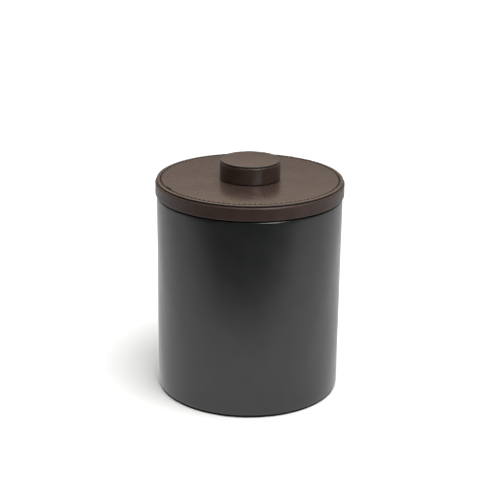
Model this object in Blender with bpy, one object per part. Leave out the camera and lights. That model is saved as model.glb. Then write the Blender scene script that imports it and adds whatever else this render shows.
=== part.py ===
"""Round ice bucket covered in leather, with a lift-out steel liner and a stitched leather lid.

Lengths are metres and +Z is up.  The origin is the centre of the foot pad's underside.
Three groups come apart along +Z: the bucket, the liner that hangs in it by its rim,
and the lid with its knob.  Each group's profiles are drawn in the group's own frame,
as (radius, height) corners with an optional corner radius, and turned about the Z axis.
"""
import math

import bmesh
import bpy
from mathutils import Matrix, Vector

# Driving sizes of the outside
BODY_RADIUS = 0.0934
BODY_HEIGHT = 0.2041
LID_RADIUS = 0.0950
LID_BAND_HEIGHT = 0.0132
LID_DISC_RADIUS = 0.0936
KNOB_RADIUS = 0.0304
KNOB_BAND_HEIGHT = 0.0172
KNOB_DISC_RADIUS = 0.0300
TOP_LEATHER = 0.0019
FOOT_PAD_RADIUS = 0.0920
FOOT_PAD_THICKNESS = 0.0020

# Materials' thicknesses and the gap that neighbouring pieces keep
GAP = 0.0003
BODY_LEATHER = 0.0014
KNOB_LEATHER = 0.0012
TURNED_EDGE = 0.0144
CORE_WALL = 0.0035
BOARD_THICKNESS = 0.0080
FLOOR_FOAM = 0.0080
SLEEVE_FOAM = 0.0080
SHELL_WALL = 0.0016
LINER_WALL = 0.0008
LINER_RIM_THICKNESS = 0.0010
LINER_RIM_RADIUS = 0.0902
LINER_CLEARANCE = 0.0008

# Plug under the lid
PLUG_RADIUS = 0.0750
PLUG_DEPTH = 0.0084
PLUG_WALL = 0.0040
PLUG_FLOOR = 0.0020
SEAL_GROOVE_DEPTH = 0.0018
SEAL_GROOVE_LOW = 0.0024
SEAL_GROOVE_HIGH = 0.0052
SCREW_COUNT = 4
SCREW_CIRCLE = 0.0500
SCREW_HEAD_RADIUS = 0.0034
SCREW_SHANK_RADIUS = 0.0016
SCREW_LENGTH = 0.0178
BOSS_RADIUS = 0.0045

# Knob fixing
KNOB_SCREW_RADIUS = 0.0030
KNOB_SCREW_HEAD_RADIUS = 0.0052
KNOB_SCREW_HEAD_HEIGHT = 0.0034
KNOB_SCREW_LENGTH = 0.0204
WASHER_RADIUS = 0.0090
WASHER_THICKNESS = 0.0012
COUNTERBORE_RADIUS = 0.0103
COUNTERBORE_DEPTH = 0.0060
INSERT_RADIUS = 0.0050
INSERT_LENGTH = 0.0110

# Facets
LARGE_STEPS = 40
KNOB_STEPS = 24
SMALL_STEPS = 12
WIDE_CORNER_STEPS = 2
WIDE_CORNER = 0.0015
SHARP_ANGLE = math.radians(35)

# Heights and radii that follow from the sizes above
WRAP_BOTTOM = FOOT_PAD_THICKNESS + GAP
CORE_BOTTOM = WRAP_BOTTOM + BODY_LEATHER + GAP
CORE_TOP = BODY_HEIGHT - BODY_LEATHER - GAP
CORE_OUTER = BODY_RADIUS - BODY_LEATHER - GAP
CORE_INNER = CORE_OUTER - CORE_WALL
FOAM_BOTTOM = CORE_BOTTOM + BOARD_THICKNESS + GAP
SHELL_BOTTOM = FOAM_BOTTOM + FLOOR_FOAM + GAP
SHELL_RADIUS = CORE_INNER - GAP - SLEEVE_FOAM - GAP
SHELL_TOP = BODY_HEIGHT - 0.0010
LINER_RADIUS = SHELL_RADIUS - SHELL_WALL - LINER_CLEARANCE
LINER_SEAT = BODY_HEIGHT + GAP
LINER_DEPTH = LINER_SEAT - SHELL_BOTTOM - SHELL_WALL - 0.0006
LID_SEAT = LINER_SEAT + LINER_RIM_THICKNESS + GAP
LID_CORE_BOTTOM = BODY_LEATHER + GAP
LID_CORE_TOP = LID_BAND_HEIGHT - BODY_LEATHER - GAP
LID_CORE_RADIUS = LID_RADIUS - BODY_LEATHER - GAP
LID_FOLD_RADIUS = LID_RADIUS - TURNED_EDGE - 0.0016
LID_TOP = LID_BAND_HEIGHT + GAP + TOP_LEATHER
KNOB_CORE_RADIUS = KNOB_RADIUS - KNOB_LEATHER - GAP
KNOB_FOLD_RADIUS = 0.0190
KNOB_BORE = KNOB_SCREW_RADIUS + 0.0005


def principled(name, colour, roughness, metallic=0.0):
    """One Principled material; colour is linear red, green and blue."""
    material = bpy.data.materials.new(name)
    material.use_nodes = True
    shader = material.node_tree.nodes["Principled BSDF"]
    shader.inputs["Base Color"].default_value = (*colour, 1.0)
    shader.inputs["Roughness"].default_value = roughness
    shader.inputs["Metallic"].default_value = metallic
    material.diffuse_color = (*colour, 1.0)
    return material


def group_origin(name, height, parent=None):
    """An empty on the Z axis that carries one group of pieces."""
    empty = bpy.data.objects.new(name, None)
    empty.location = (0.0, 0.0, height)
    empty.parent = parent
    bpy.context.collection.objects.link(empty)
    return empty


def add_object(name, bm, material, parent):
    """Close a bmesh into a named, smooth-shaded object under its group's empty."""
    bmesh.ops.remove_doubles(bm, verts=bm.verts, dist=1e-6)
    bmesh.ops.recalc_face_normals(bm, faces=bm.faces)
    mesh = bpy.data.meshes.new(name)
    bm.to_mesh(mesh)
    bm.free()
    mesh.shade_smooth()
    mesh.set_sharp_from_angle(angle=SHARP_ANGLE)
    mesh.materials.append(material)
    piece = bpy.data.objects.new(name, mesh)
    piece.parent = parent
    bpy.context.collection.objects.link(piece)
    return piece


def rounded_outline(corners):
    """Turn (radius, height, corner radius) corners into points, with an arc at each round one."""
    outline = []
    for index, corner in enumerate(corners):
        point = Vector(corner[:2])
        radius = corner[2] if len(corner) == 3 else 0.0
        if radius == 0.0:
            outline.append(point)
            continue
        before = (Vector(corners[index - 1][:2]) - point).normalized()
        after = (Vector(corners[(index + 1) % len(corners)][:2]) - point).normalized()
        half_angle = before.angle(after) / 2
        centre = point + (before + after).normalized() * radius / math.sin(half_angle)
        start = point + before * radius / math.tan(half_angle) - centre
        end = point + after * radius / math.tan(half_angle) - centre
        sweep = end.angle_signed(start)
        steps = WIDE_CORNER_STEPS if radius >= WIDE_CORNER else 1
        for step in range(steps + 1):
            turn = Matrix.Rotation(sweep * step / steps, 2)
            outline.append(centre + turn @ start)
    return outline


def spin_profile(bm, corners, steps):
    """Spin a profile about Z; one that starts and ends on the axis makes a solid, others a ring."""
    outline = rounded_outline(corners)
    rim = [bm.verts.new((point.x, 0.0, point.y)) for point in outline]
    on_axis = outline[0].x == 0.0 and outline[-1].x == 0.0
    following = rim[1:] if on_axis else rim[1:] + rim[:1]
    edges = [bm.edges.new(pair) for pair in zip(rim, following)]
    bmesh.ops.spin(
        bm, geom=rim + edges, cent=(0.0, 0.0, 0.0), axis=(0.0, 0.0, 1.0),
        angle=math.tau, steps=steps, use_merge=True,
    )


def turned(name, corners, steps, material, parent=None, place=(0.0, 0.0, 0.0)):
    """A turned piece, standing at a place in its group's frame."""
    bm = bmesh.new()
    spin_profile(bm, corners, steps)
    piece = add_object(name, bm, material, parent)
    piece.location = place
    return piece


def disc(name, radius, low, high, steps, material, parent=None, bore=0.0, edge=0.0):
    """A flat disc, with a centre bore and rounded outer edges where the piece has them."""
    corners = [(bore, low), (radius, low, edge), (radius, high, edge), (bore, high)]
    return turned(name, corners, steps, material, parent)


def folded_band(name, radius, inner_radius, height, leather, round_low, round_high, steps, material, parent):
    """A leather band round a disc's edge, with both its edges folded in over the disc's faces."""
    inner = radius - leather
    corners = [
        (inner_radius, 0.0),
        (radius, 0.0, round_low),
        (radius, height, round_high),
        (inner_radius, height),
        (inner_radius, height - leather),
        (inner, height - leather, round_high - leather),
        (inner, leather, round_low - leather),
        (inner_radius, leather),
    ]
    return turned(name, corners, steps, material, parent)


def screw_places():
    """The plug screws' places, evenly round their circle."""
    for number in range(SCREW_COUNT):
        angle = math.tau * (number + 0.5) / SCREW_COUNT
        yield (SCREW_CIRCLE * math.cos(angle), SCREW_CIRCLE * math.sin(angle), -PLUG_DEPTH)


def copies_at_screws(name, corners, material, parent):
    """A hidden tool body: the same turned shape at every plug screw."""
    bm = bmesh.new()
    for place in screw_places():
        copy = bmesh.new()
        spin_profile(copy, corners, SMALL_STEPS)
        bmesh.ops.translate(copy, verts=copy.verts, vec=place)
        mesh = bpy.data.meshes.new("copy")
        copy.to_mesh(mesh)
        copy.free()
        bm.from_mesh(mesh)
        bpy.data.meshes.remove(mesh)
    tool = add_object(name, bm, material, parent)
    tool.hide_render = True
    tool.display_type = "WIRE"
    return tool


def combine(piece, tool, operation):
    """Join a tool body to a piece, or cut it out."""
    boolean = piece.modifiers.new(tool.name, "BOOLEAN")
    boolean.object = tool
    boolean.operation = operation
    boolean.solver = "EXACT"


def build_bucket(finish):
    """The bucket: foot pad, base, rigid tube, leather cover, insulation and inner shell."""
    disc("base_pad", FOOT_PAD_RADIUS, 0.0, FOOT_PAD_THICKNESS, LARGE_STEPS, finish["suede"], edge=0.0003)
    fold = BODY_RADIUS - TURNED_EDGE
    disc("base_card", fold - GAP, WRAP_BOTTOM, WRAP_BOTTOM + BODY_LEATHER, LARGE_STEPS, finish["card"])
    disc("base_board", CORE_INNER - GAP, CORE_BOTTOM, CORE_BOTTOM + BOARD_THICKNESS, LARGE_STEPS,
         finish["board"])
    core = [
        (CORE_INNER, CORE_BOTTOM),
        (CORE_OUTER, CORE_BOTTOM),
        (CORE_OUTER, CORE_TOP, 0.0010),
        (CORE_INNER, CORE_TOP, 0.0010),
    ]
    turned("body_core", core, LARGE_STEPS, finish["board"])
    cover_inner = CORE_INNER - GAP - BODY_LEATHER
    fold_bottom = BODY_HEIGHT - TURNED_EDGE
    wrap = [
        (fold, WRAP_BOTTOM),
        (BODY_RADIUS, WRAP_BOTTOM, 0.0012),
        (BODY_RADIUS, BODY_HEIGHT, 0.0026),
        (cover_inner, BODY_HEIGHT, 0.0026),
        (cover_inner, fold_bottom),
        (CORE_INNER - GAP, fold_bottom),
        (CORE_INNER - GAP, BODY_HEIGHT - BODY_LEATHER, 0.0012),
        (BODY_RADIUS - BODY_LEATHER, BODY_HEIGHT - BODY_LEATHER, 0.0012),
        (BODY_RADIUS - BODY_LEATHER, WRAP_BOTTOM + BODY_LEATHER),
        (fold, WRAP_BOTTOM + BODY_LEATHER),
    ]
    turned("body_wrap", wrap, LARGE_STEPS, finish["black_leather"])
    disc("insulation_floor", CORE_INNER - GAP, FOAM_BOTTOM, FOAM_BOTTOM + FLOOR_FOAM, LARGE_STEPS,
         finish["foam"])
    sleeve = [
        (SHELL_RADIUS + GAP, SHELL_BOTTOM),
        (CORE_INNER - GAP, SHELL_BOTTOM),
        (CORE_INNER - GAP, fold_bottom - GAP),
        (cover_inner - GAP, fold_bottom - GAP),
        (cover_inner - GAP, SHELL_TOP - SHELL_WALL - GAP),
        (SHELL_RADIUS + GAP, SHELL_TOP - SHELL_WALL - GAP),
    ]
    turned("insulation_sleeve", sleeve, LARGE_STEPS, finish["foam"])
    shell_inner = SHELL_RADIUS - SHELL_WALL
    shell = [
        (0.0, SHELL_BOTTOM),
        (SHELL_RADIUS, SHELL_BOTTOM, 0.0050),
        (SHELL_RADIUS, SHELL_TOP - SHELL_WALL),
        (cover_inner - GAP, SHELL_TOP - SHELL_WALL),
        (cover_inner - GAP, SHELL_TOP),
        (shell_inner, SHELL_TOP, 0.0008),
        (shell_inner, SHELL_BOTTOM + SHELL_WALL, 0.0034),
        (0.0, SHELL_BOTTOM + SHELL_WALL),
    ]
    turned("inner_shell", shell, LARGE_STEPS, finish["abs"])


def build_liner(finish):
    """The deep-drawn steel liner, whose flat rim rests on the bucket's leather edge."""
    liner_lift = group_origin("liner_lift", LINER_SEAT)
    inner = LINER_RADIUS - LINER_WALL
    cup = [
        (0.0, -LINER_DEPTH),
        (LINER_RADIUS, -LINER_DEPTH, 0.0060),
        (LINER_RADIUS, 0.0, 0.0016),
        (LINER_RIM_RADIUS, 0.0, 0.0004),
        (LINER_RIM_RADIUS, LINER_RIM_THICKNESS, 0.0004),
        (inner, LINER_RIM_THICKNESS, 0.0024),
        (inner, LINER_WALL - LINER_DEPTH, 0.0052),
        (0.0, LINER_WALL - LINER_DEPTH),
    ]
    turned("liner_cup", cup, LARGE_STEPS, finish["steel"], liner_lift)


def build_lid(finish, lid_lift):
    """The lid: a board with a folded leather band, a stitched leather top and a lining below."""
    folded_band("lid_band", LID_RADIUS, LID_FOLD_RADIUS, LID_BAND_HEIGHT, BODY_LEATHER, 0.0020, 0.0022,
                LARGE_STEPS, finish["brown_leather"], lid_lift)
    core = [
        (COUNTERBORE_RADIUS, LID_CORE_BOTTOM),
        (LID_CORE_RADIUS, LID_CORE_BOTTOM, 0.0005),
        (LID_CORE_RADIUS, LID_CORE_TOP, 0.0007),
        (KNOB_BORE, LID_CORE_TOP),
        (KNOB_BORE, LID_CORE_BOTTOM + COUNTERBORE_DEPTH),
        (COUNTERBORE_RADIUS, LID_CORE_BOTTOM + COUNTERBORE_DEPTH),
    ]
    lid_core = turned("lid_core", core, LARGE_STEPS, finish["board"], lid_lift)
    filler_radius = LID_FOLD_RADIUS - GAP
    disc("lid_card", filler_radius, LID_CORE_TOP + GAP, LID_BAND_HEIGHT, LARGE_STEPS, finish["card"],
         lid_lift, bore=KNOB_BORE)
    disc("lid_top_disc", LID_DISC_RADIUS, LID_BAND_HEIGHT + GAP, LID_TOP, LARGE_STEPS,
         finish["brown_leather"], lid_lift, bore=KNOB_BORE, edge=0.0004)
    lining = disc("lid_lining", filler_radius, 0.0, BODY_LEATHER, LARGE_STEPS, finish["suede"], lid_lift)
    return lid_core, lining


def build_plug(finish, lid_lift, lid_core, lining):
    """The insulated plug below the lid, with its seal and the screws that hold it."""
    bottom = -PLUG_DEPTH
    rim = -GAP
    cavity_radius = PLUG_RADIUS - PLUG_WALL
    groove = PLUG_RADIUS - SEAL_GROOVE_DEPTH
    shell = [
        (0.0, bottom),
        (PLUG_RADIUS, bottom, 0.0012),
        (PLUG_RADIUS, bottom + SEAL_GROOVE_LOW),
        (groove, bottom + SEAL_GROOVE_LOW),
        (groove, bottom + SEAL_GROOVE_HIGH),
        (PLUG_RADIUS, bottom + SEAL_GROOVE_HIGH),
        (PLUG_RADIUS, rim),
        (cavity_radius, rim),
        (cavity_radius, bottom + PLUG_FLOOR),
        (0.0, bottom + PLUG_FLOOR),
    ]
    plug_shell = turned("plug_shell", shell, LARGE_STEPS, finish["abs"], lid_lift)
    insulation = disc("plug_insulation", cavity_radius - GAP, bottom + PLUG_FLOOR + GAP, rim - GAP,
                      LARGE_STEPS, finish["foam"], lid_lift)
    seal_outer = LINER_RADIUS - LINER_WALL - GAP
    seal = [
        (groove + GAP, bottom + SEAL_GROOVE_LOW + GAP, 0.0004),
        (seal_outer, bottom + SEAL_GROOVE_LOW + GAP, 0.0010),
        (seal_outer, bottom + SEAL_GROOVE_HIGH - GAP, 0.0010),
        (groove + GAP, bottom + SEAL_GROOVE_HIGH - GAP, 0.0004),
    ]
    turned("plug_seal", seal, LARGE_STEPS, finish["silicone"], lid_lift)

    boss = [(0.0, PLUG_FLOOR / 2), (BOSS_RADIUS, PLUG_FLOOR / 2), (BOSS_RADIUS, PLUG_DEPTH - GAP),
            (0.0, PLUG_DEPTH - GAP)]
    bosses = copies_at_screws("boss_tool", boss, finish["abs"], lid_lift)
    combine(plug_shell, bosses, "UNION")
    boss_room = [(0.0, 0.0), (BOSS_RADIUS + GAP, 0.0), (BOSS_RADIUS + GAP, PLUG_DEPTH),
                 (0.0, PLUG_DEPTH)]
    combine(insulation, copies_at_screws("boss_room_tool", boss_room, finish["foam"], lid_lift), "DIFFERENCE")

    cone = SCREW_HEAD_RADIUS - SCREW_SHANK_RADIUS
    head_low = 0.0002
    head_edge = 0.0005
    screw = [
        (0.0, head_low),
        (SCREW_HEAD_RADIUS, head_low),
        (SCREW_HEAD_RADIUS, head_edge),
        (SCREW_SHANK_RADIUS, head_edge + cone),
        (SCREW_SHANK_RADIUS, SCREW_LENGTH - 0.0030),
        (0.0, SCREW_LENGTH),
    ]
    head_room = SCREW_HEAD_RADIUS + GAP
    shank_room = SCREW_SHANK_RADIUS + GAP
    screw_room = [
        (0.0, -0.0010),
        (head_room, -0.0010),
        (head_room, head_edge + GAP),
        (shank_room, head_edge + GAP + cone),
        (shank_room, SCREW_LENGTH + GAP),
        (0.0, SCREW_LENGTH + GAP),
    ]
    holes = copies_at_screws("screw_room_tool", screw_room, finish["steel"], lid_lift)
    for holed in (plug_shell, lining, lid_core):
        combine(holed, holes, "DIFFERENCE")
    for number, place in enumerate(screw_places(), start=1):
        turned(f"plug_screw_{number}", screw, SMALL_STEPS, finish["steel"], lid_lift, place)


def build_knob(finish, lid_lift):
    """The knob: a turned core in leather, drawn down on the lid by a screw from below."""
    knob_seat = group_origin("knob_seat", LID_TOP + GAP, lid_lift)
    folded_band("knob_band", KNOB_RADIUS, KNOB_FOLD_RADIUS, KNOB_BAND_HEIGHT, KNOB_LEATHER, 0.0016, 0.0018,
                KNOB_STEPS, finish["brown_leather"], knob_seat)
    core_bottom = KNOB_LEATHER + GAP
    core_top = KNOB_BAND_HEIGHT - KNOB_LEATHER - GAP
    bore = INSERT_RADIUS + GAP
    bore_top = core_bottom + INSERT_LENGTH + GAP
    core = [
        (0.0, bore_top),
        (bore, bore_top),
        (bore, core_bottom),
        (KNOB_CORE_RADIUS, core_bottom, 0.0004),
        (KNOB_CORE_RADIUS, core_top, 0.0005),
        (0.0, core_top),
    ]
    turned("knob_core", core, KNOB_STEPS, finish["wood"], knob_seat)
    card_radius = KNOB_FOLD_RADIUS - GAP
    disc("knob_lower_card", card_radius, 0.0, KNOB_LEATHER, KNOB_STEPS, finish["card"], knob_seat, bore=bore)
    disc("knob_upper_card", card_radius, core_top + GAP, KNOB_BAND_HEIGHT, KNOB_STEPS, finish["card"],
         knob_seat)
    disc_bottom = KNOB_BAND_HEIGHT + GAP
    disc("knob_top_disc", KNOB_DISC_RADIUS, disc_bottom, disc_bottom + TOP_LEATHER, KNOB_STEPS,
         finish["brown_leather"], knob_seat, edge=0.0004)
    disc("knob_insert", INSERT_RADIUS, core_bottom + GAP, core_bottom + INSERT_LENGTH, SMALL_STEPS,
         finish["brass"], knob_seat, bore=KNOB_SCREW_RADIUS + GAP)

    ceiling = LID_CORE_BOTTOM + COUNTERBORE_DEPTH
    washer_low = ceiling - GAP - WASHER_THICKNESS
    disc("knob_washer", WASHER_RADIUS, washer_low, ceiling - GAP, SMALL_STEPS, finish["steel"], lid_lift,
         bore=KNOB_SCREW_RADIUS + GAP)
    shoulder = washer_low - GAP
    screw = [
        (0.0, shoulder - KNOB_SCREW_HEAD_HEIGHT),
        (KNOB_SCREW_HEAD_RADIUS, shoulder - KNOB_SCREW_HEAD_HEIGHT, 0.0008),
        (KNOB_SCREW_HEAD_RADIUS, shoulder),
        (KNOB_SCREW_RADIUS, shoulder),
        (KNOB_SCREW_RADIUS, shoulder + KNOB_SCREW_LENGTH),
        (0.0, shoulder + KNOB_SCREW_LENGTH),
    ]
    turned("knob_screw", screw, SMALL_STEPS, finish["steel"], lid_lift)


def main():
    for leftover in list(bpy.data.objects):
        bpy.data.objects.remove(leftover, do_unlink=True)
    finish = {
        "black_leather": principled("smooth_black_leather", (0.012, 0.012, 0.013), 0.38),
        "brown_leather": principled("dark_brown_leather", (0.030, 0.017, 0.014), 0.42),
        "suede": principled("black_microsuede", (0.010, 0.010, 0.010), 0.95),
        "card": principled("grey_card", (0.220, 0.200, 0.170), 0.90),
        "board": principled("fibreboard", (0.340, 0.220, 0.120), 0.85),
        "wood": principled("turned_beech", (0.480, 0.310, 0.170), 0.60),
        "foam": principled("closed_cell_foam", (0.700, 0.700, 0.680), 0.95),
        "abs": principled("black_moulded_plastic", (0.015, 0.015, 0.016), 0.45),
        "silicone": principled("black_silicone", (0.020, 0.020, 0.020), 0.60),
        "steel": principled("brushed_stainless_steel", (0.560, 0.560, 0.550), 0.30, 1.0),
        "brass": principled("brass", (0.710, 0.500, 0.180), 0.30, 1.0),
    }
    build_bucket(finish)
    build_liner(finish)
    lid_lift = group_origin("lid_lift", LID_SEAT)
    lid_core, lining = build_lid(finish, lid_lift)
    build_plug(finish, lid_lift, lid_core, lining)
    build_knob(finish, lid_lift)


main()
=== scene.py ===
# %% [markdown]
# # A leather-covered ice bucket
# The bucket is a rigid tube wrapped in smooth black hide. Its lid and knob are boards wrapped in dark
# brown hide, each topped with a cut leather disc, and the lid's disc is sewn round its edge. A steel
# liner hangs inside. Almost every piece is round, so one turning function makes the meshes, and small
# reliefs on top of it give the seam, the sewn groove and the slight waves of stretched hide.

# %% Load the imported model
import math

import bmesh
import bpy
import numpy as np
from mathutils import Matrix, Vector


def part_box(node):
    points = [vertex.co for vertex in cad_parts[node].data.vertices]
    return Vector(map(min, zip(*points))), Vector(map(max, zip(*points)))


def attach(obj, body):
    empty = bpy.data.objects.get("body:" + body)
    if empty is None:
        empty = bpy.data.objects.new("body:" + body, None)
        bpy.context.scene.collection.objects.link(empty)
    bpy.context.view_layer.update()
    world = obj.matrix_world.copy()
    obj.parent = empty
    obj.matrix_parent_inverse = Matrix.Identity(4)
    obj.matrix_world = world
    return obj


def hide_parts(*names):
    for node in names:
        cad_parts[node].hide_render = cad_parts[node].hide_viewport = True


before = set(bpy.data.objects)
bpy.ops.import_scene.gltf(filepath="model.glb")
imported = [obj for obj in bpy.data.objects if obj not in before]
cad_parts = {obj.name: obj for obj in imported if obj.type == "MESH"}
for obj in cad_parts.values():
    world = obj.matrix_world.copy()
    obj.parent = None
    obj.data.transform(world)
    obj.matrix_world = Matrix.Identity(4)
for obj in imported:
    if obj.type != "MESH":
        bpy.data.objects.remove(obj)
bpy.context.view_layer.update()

# %% [markdown]
# ## The camera comes first
# The view is that of a product shot: a long lens about 1.3 m away that looks 20 degrees down. A long
# lens keeps the sides of the cylinder almost upright. The camera is placed by its own matrix, so its
# small roll is easy to read. Colours go to the screen unchanged, as a catalogue picture shows them.

# %% Camera
def add_object(name, data):
    """Put new data into the scene as an object."""
    item = bpy.data.objects.new(name, data)
    bpy.context.scene.collection.objects.link(item)
    return item


CAMERA_PLACE = Vector((0.0009, -1.2483, 0.5871))
CAMERA_PITCH = math.radians(-19.54)
CAMERA_ROLL = math.radians(0.753)

camera_data = bpy.data.cameras.new("product_camera")
camera_data.lens = 93.25
camera_data.sensor_width = 36.0
camera = add_object("product_camera", camera_data)
upright = Matrix.Rotation(math.radians(90.0) + CAMERA_PITCH, 4, "X")
camera.matrix_world = Matrix.Translation(CAMERA_PLACE) @ upright @ Matrix.Rotation(CAMERA_ROLL, 4, "Z")
bpy.context.scene.camera = camera
bpy.context.scene.view_settings.view_transform = "Standard"
print("camera looks down", round(-math.degrees(CAMERA_PITCH), 1), "degrees")

# %% [markdown]
# ## Helpers for every node tree
# Shader trees and geometry trees are built alike: add a node, set its options, then fill or link its
# inputs. One function does that for both. Colours are written as sRGB hex, the way a dye chart gives
# them, and are turned to linear light once. Sizes are metres, so a pattern is as large as the real one.

# %% Node and colour helpers
def fill(tree, node, inputs):
    """Give a node's inputs their values, or link the sockets that feed them."""
    for socket, value in inputs.items():
        if isinstance(value, bpy.types.NodeSocket):
            tree.links.new(value, node.inputs[socket])
        else:
            node.inputs[socket].default_value = value


def add_node(tree, kind, settings=None, inputs=None):
    """Add a node; settings are its options, inputs are values or the sockets to link."""
    node = tree.nodes.new(kind)
    for name, value in (settings or {}).items():
        setattr(node, name, value)
    fill(tree, node, inputs or {})
    return node


def calculate(tree, operation, *values):
    """A Math node on numbers or sockets."""
    return add_node(tree, "ShaderNodeMath", {"operation": operation}, dict(enumerate(values))).outputs[0]


def mapped(tree, place, scale=(1.0, 1.0, 1.0), rotation=(0.0, 0.0, 0.0)):
    """Turned or stretched coordinates, for a pattern that runs one way."""
    inputs = {"Vector": place, "Rotation": rotation, "Scale": scale}
    return add_node(tree, "ShaderNodeMapping", None, inputs).outputs[0]


def combined(tree, **parts):
    """A vector from its X, Y and Z; a part that isn't named is 0."""
    return add_node(tree, "ShaderNodeCombineXYZ", None, parts).outputs[0]


def parts_of(tree, vector):
    """The X, Y and Z sockets of a vector."""
    return add_node(tree, "ShaderNodeSeparateXYZ", None, {0: vector}).outputs


def linear(hex_colour):
    """An sRGB hex colour as linear red, green, blue and alpha."""
    channels = [int(hex_colour[start:start + 2], 16) / 255 for start in (1, 3, 5)]
    return [c / 12.92 if c <= 0.04045 else ((c + 0.055) / 1.055) ** 2.4 for c in channels] + [1.0]


def start_material(name):
    """A new Principled material: its tree, its shader and the Object coordinates socket."""
    material = bpy.data.materials.new(name)
    material.use_nodes = True
    tree = material.node_tree
    place = add_node(tree, "ShaderNodeTexCoord").outputs["Object"]
    return material, tree, tree.nodes["Principled BSDF"], place


def speckle(tree, place, size, detail=2.0, roughness=0.5):
    """Noise whose blotches are about size metres across, as a 0 to 1 socket."""
    inputs = {"Vector": place, "Scale": 1.0 / size, "Detail": detail, "Roughness": roughness}
    return add_node(tree, "ShaderNodeTexNoise", {"noise_dimensions": "3D"}, inputs).outputs["Fac"]


def spread(tree, value, low, high, start=0.3, end=0.7):
    """Map a pattern's part from start to end to the range low to high."""
    inputs = {"Value": value, "From Min": start, "From Max": end, "To Min": low, "To Max": high}
    return add_node(tree, "ShaderNodeMapRange", {"clamp": True}, inputs).outputs["Result"]


def mixed_colour(tree, factor, first, second):
    """Mix two colours, each a linear colour or a socket."""
    mix = add_node(tree, "ShaderNodeMix", {"data_type": "RGBA"}, {0: factor, 6: first, 7: second})
    return mix.outputs[2]


def two_tone(tree, pattern, dark, light):
    """Dark where a pattern is low and light where it is high, from two hex colours."""
    return mixed_colour(tree, spread(tree, pattern, 0.0, 1.0), linear(dark), linear(light))


def bump(tree, height, distance, normal=None):
    """A bump whose full height stands for a real distance in metres."""
    inputs = {"Height": height, "Distance": distance, "Strength": 1.0}
    if normal is not None:
        inputs["Normal"] = normal
    return add_node(tree, "ShaderNodeBump", None, inputs).outputs["Normal"]


print("black hide in linear light:", [round(c, 4) for c in linear("#1b1c1d")])

# %% [markdown]
# ## Leather
# Smooth calf leather is split, dyed through and finished with a thin resin coat. What the eye gets is a
# deep colour with slow blotches of dye, a fine net of creases round cells about a millimetre across,
# pores between them, and a soft sheen that varies where hands polish it. Voronoi edges make the creases,
# noise makes pores and blotches, and all of them sit in Object coordinates, so a fold shows no stretch.
# The cut discs are a smoother brown hide than the bands, whose grain is pulled round the boards.

# %% Leather
CREASE_CELL = 0.0011
CREASE_WIDTH = 0.22
CREASE_DEPTH = 0.000012
PORE_DEPTH = 0.000004
STRAND_DEPTH = 0.000015
SHEEN_CHANGE = 0.015


def leather(name, light, dark, roughness, gloss, depth, drawn_along):
    """Smooth finished hide; depth scales its relief, drawn_along stretches the grain one way."""
    material, tree, shader, place = start_material(name)
    tint = two_tone(tree, speckle(tree, place, 0.014, detail=3.0), dark, light)
    warped = add_node(tree, "ShaderNodeTexNoise", None, {"Vector": place, "Scale": 1.0 / 0.004})
    shift = add_node(tree, "ShaderNodeVectorMath", {"operation": "SCALE"},
                     {0: warped.outputs["Color"], "Scale": CREASE_CELL * 0.8})
    bent = add_node(tree, "ShaderNodeVectorMath", {"operation": "ADD"}, {0: place, 1: shift.outputs[0]})
    cells = add_node(tree, "ShaderNodeTexVoronoi", {"feature": "DISTANCE_TO_EDGE"},
                     {"Vector": bent.outputs[0], "Scale": 1.0 / CREASE_CELL})
    creases = spread(tree, cells.outputs["Distance"], 0.0, 1.0, 0.0, CREASE_WIDTH)
    # Painted shade: the creases of the grain net darken the colour toward the darker dye, as shade falls in
    # them.
    painted_shade = mixed_colour(tree, spread(tree, creases, 0.35, 0.0, 0.0, 1.0), tint, linear(dark))
    pores = speckle(tree, place, 0.00035, detail=1.0)
    strands = speckle(tree, mapped(tree, place, drawn_along), 0.006, detail=4.0, roughness=0.65)
    handled = speckle(tree, place, 0.012, detail=4.0)
    sheen = spread(tree, handled, roughness - SHEEN_CHANGE, roughness + SHEEN_CHANGE)
    # Painted shade of the stitches: where the sewn disc's attribute is high, along the groove and most under
    # the thread, the colour goes almost black and the sheen dulls.
    painted_stitch_shade = add_node(tree, "ShaderNodeAttribute", {"attribute_name": "painted_stitch_shade"}).outputs["Fac"]
    net = bump(tree, creases, CREASE_DEPTH * depth)
    fine = bump(tree, pores, PORE_DEPTH * depth, net)
    fill(tree, shader, {
        "Base Color": mixed_colour(tree, painted_stitch_shade, painted_shade, linear("#0b0807")),
        "Roughness": calculate(tree, "MULTIPLY_ADD", painted_stitch_shade, 0.5, sheen),
        "Specular IOR Level": spread(tree, painted_stitch_shade, gloss, 0.05, 0.0, 1.0),
        "IOR": 1.5,
        "Normal": bump(tree, strands, STRAND_DEPTH * depth, fine),
    })
    return material


brown_hide = leather("dark brown smooth calf leather", "#2a211c", "#251b18", 0.28, 0.3, 0.45, (0.4, 2.0, 1.0))
band_hide = leather("dark brown matt calf leather", "#352822", "#2b1e1a", 0.32, 0.24, 2.0, (1.0, 1.0, 6.0))
print("made", brown_hide.name, "and", band_hide.name)

# %% [markdown]
# The body's black hide is the same leather in another dye, but it is the largest surface and it is
# handled most, so it also carries faint slanting scratches and a few specks of dust. A scratch is a
# pattern that is narrow one way and long the other. The body's UV map runs in metres round and up the
# wall, so a turned and stretched copy of it gives scratches of a true length.

# %% Black leather with scratches
SCRATCH_SLANT = math.radians(38.0)
SCRATCH_STRETCH = (30.0, 1800.0, 1.0)


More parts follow.
